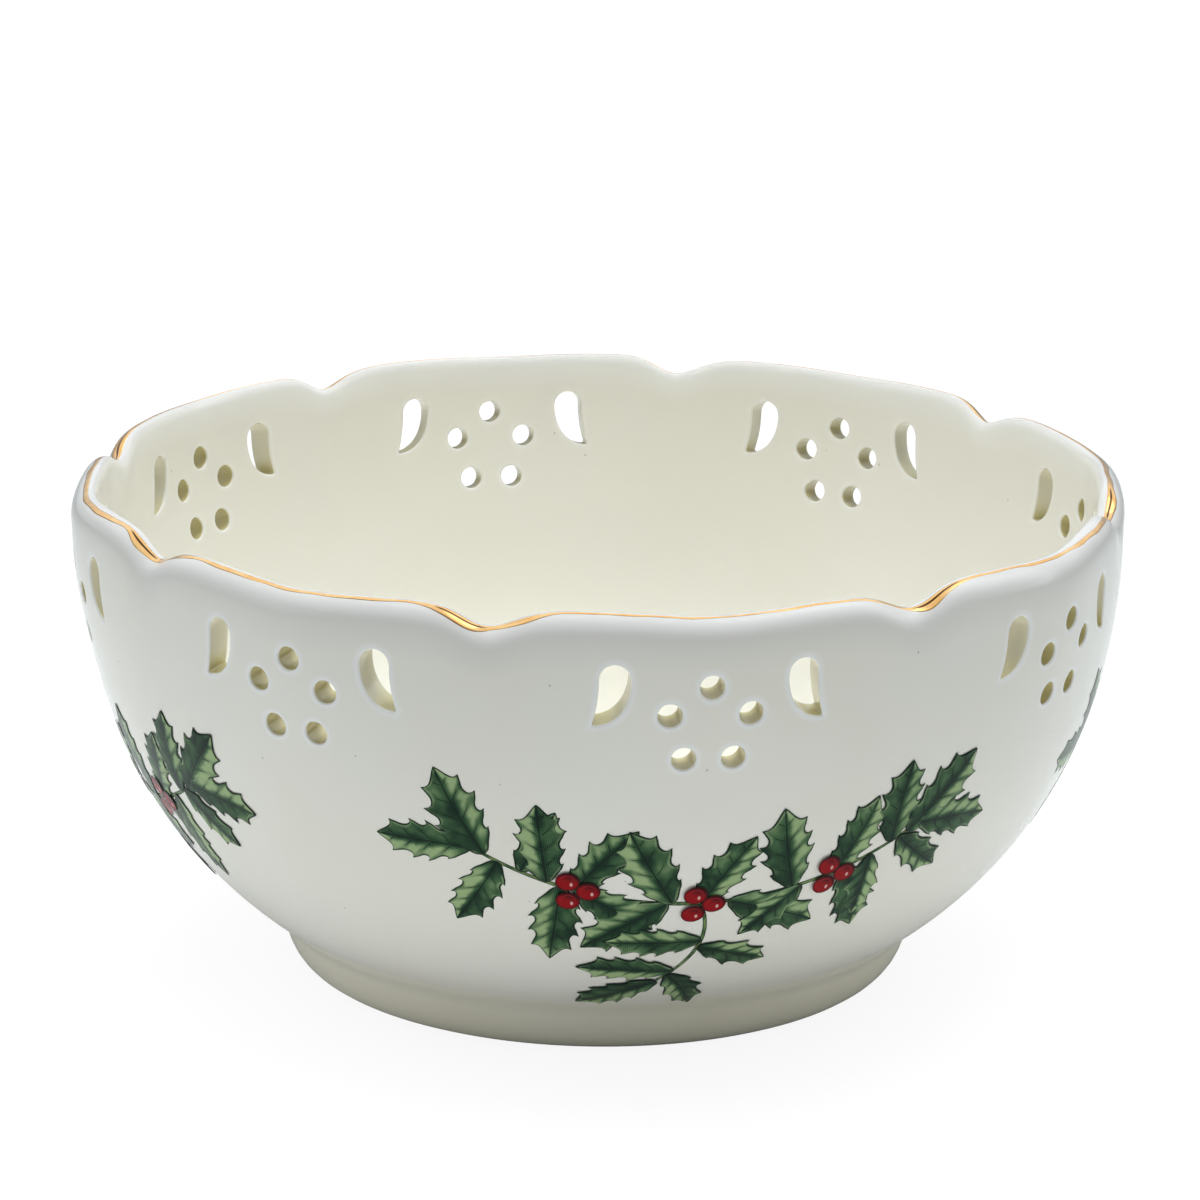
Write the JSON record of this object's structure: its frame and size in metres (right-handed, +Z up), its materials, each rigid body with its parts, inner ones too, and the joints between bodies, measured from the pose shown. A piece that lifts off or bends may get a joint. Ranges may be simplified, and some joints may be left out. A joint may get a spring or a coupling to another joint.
{
  "type": "pierced bowl",
  "caption": "Round glazed ceramic bowl with a scalloped gilt lip, a wall pierced with round and comma-shaped holes, printed holly sprays and a low foot ring.",
  "frame": {"origin": "centre of the foot ring's base, on the surface that the bowl stands on", "axes": "+Z up along the bowl's axis; the middle of one lobe of the lip and of one holly spray faces -Y"},
  "size_m": [0.2052, 0.2052, 0.0981],
  "materials": {
    "ivory_glaze": "glossy clear glaze over an ivory body",
    "burnished_gold": "bright fired gilding",
    "holly_enamel": "printed enamel fired onto the glaze"
  },
  "bodies": {
    "root": {"bowl_body": "ivory_glaze", "gilt_rim": "burnished_gold", "holly_transfer_1": "holly_enamel", "holly_transfer_2": "holly_enamel", "holly_transfer_3": "holly_enamel", "holly_transfer_4": "holly_enamel"}
  },
  "joints": []
}
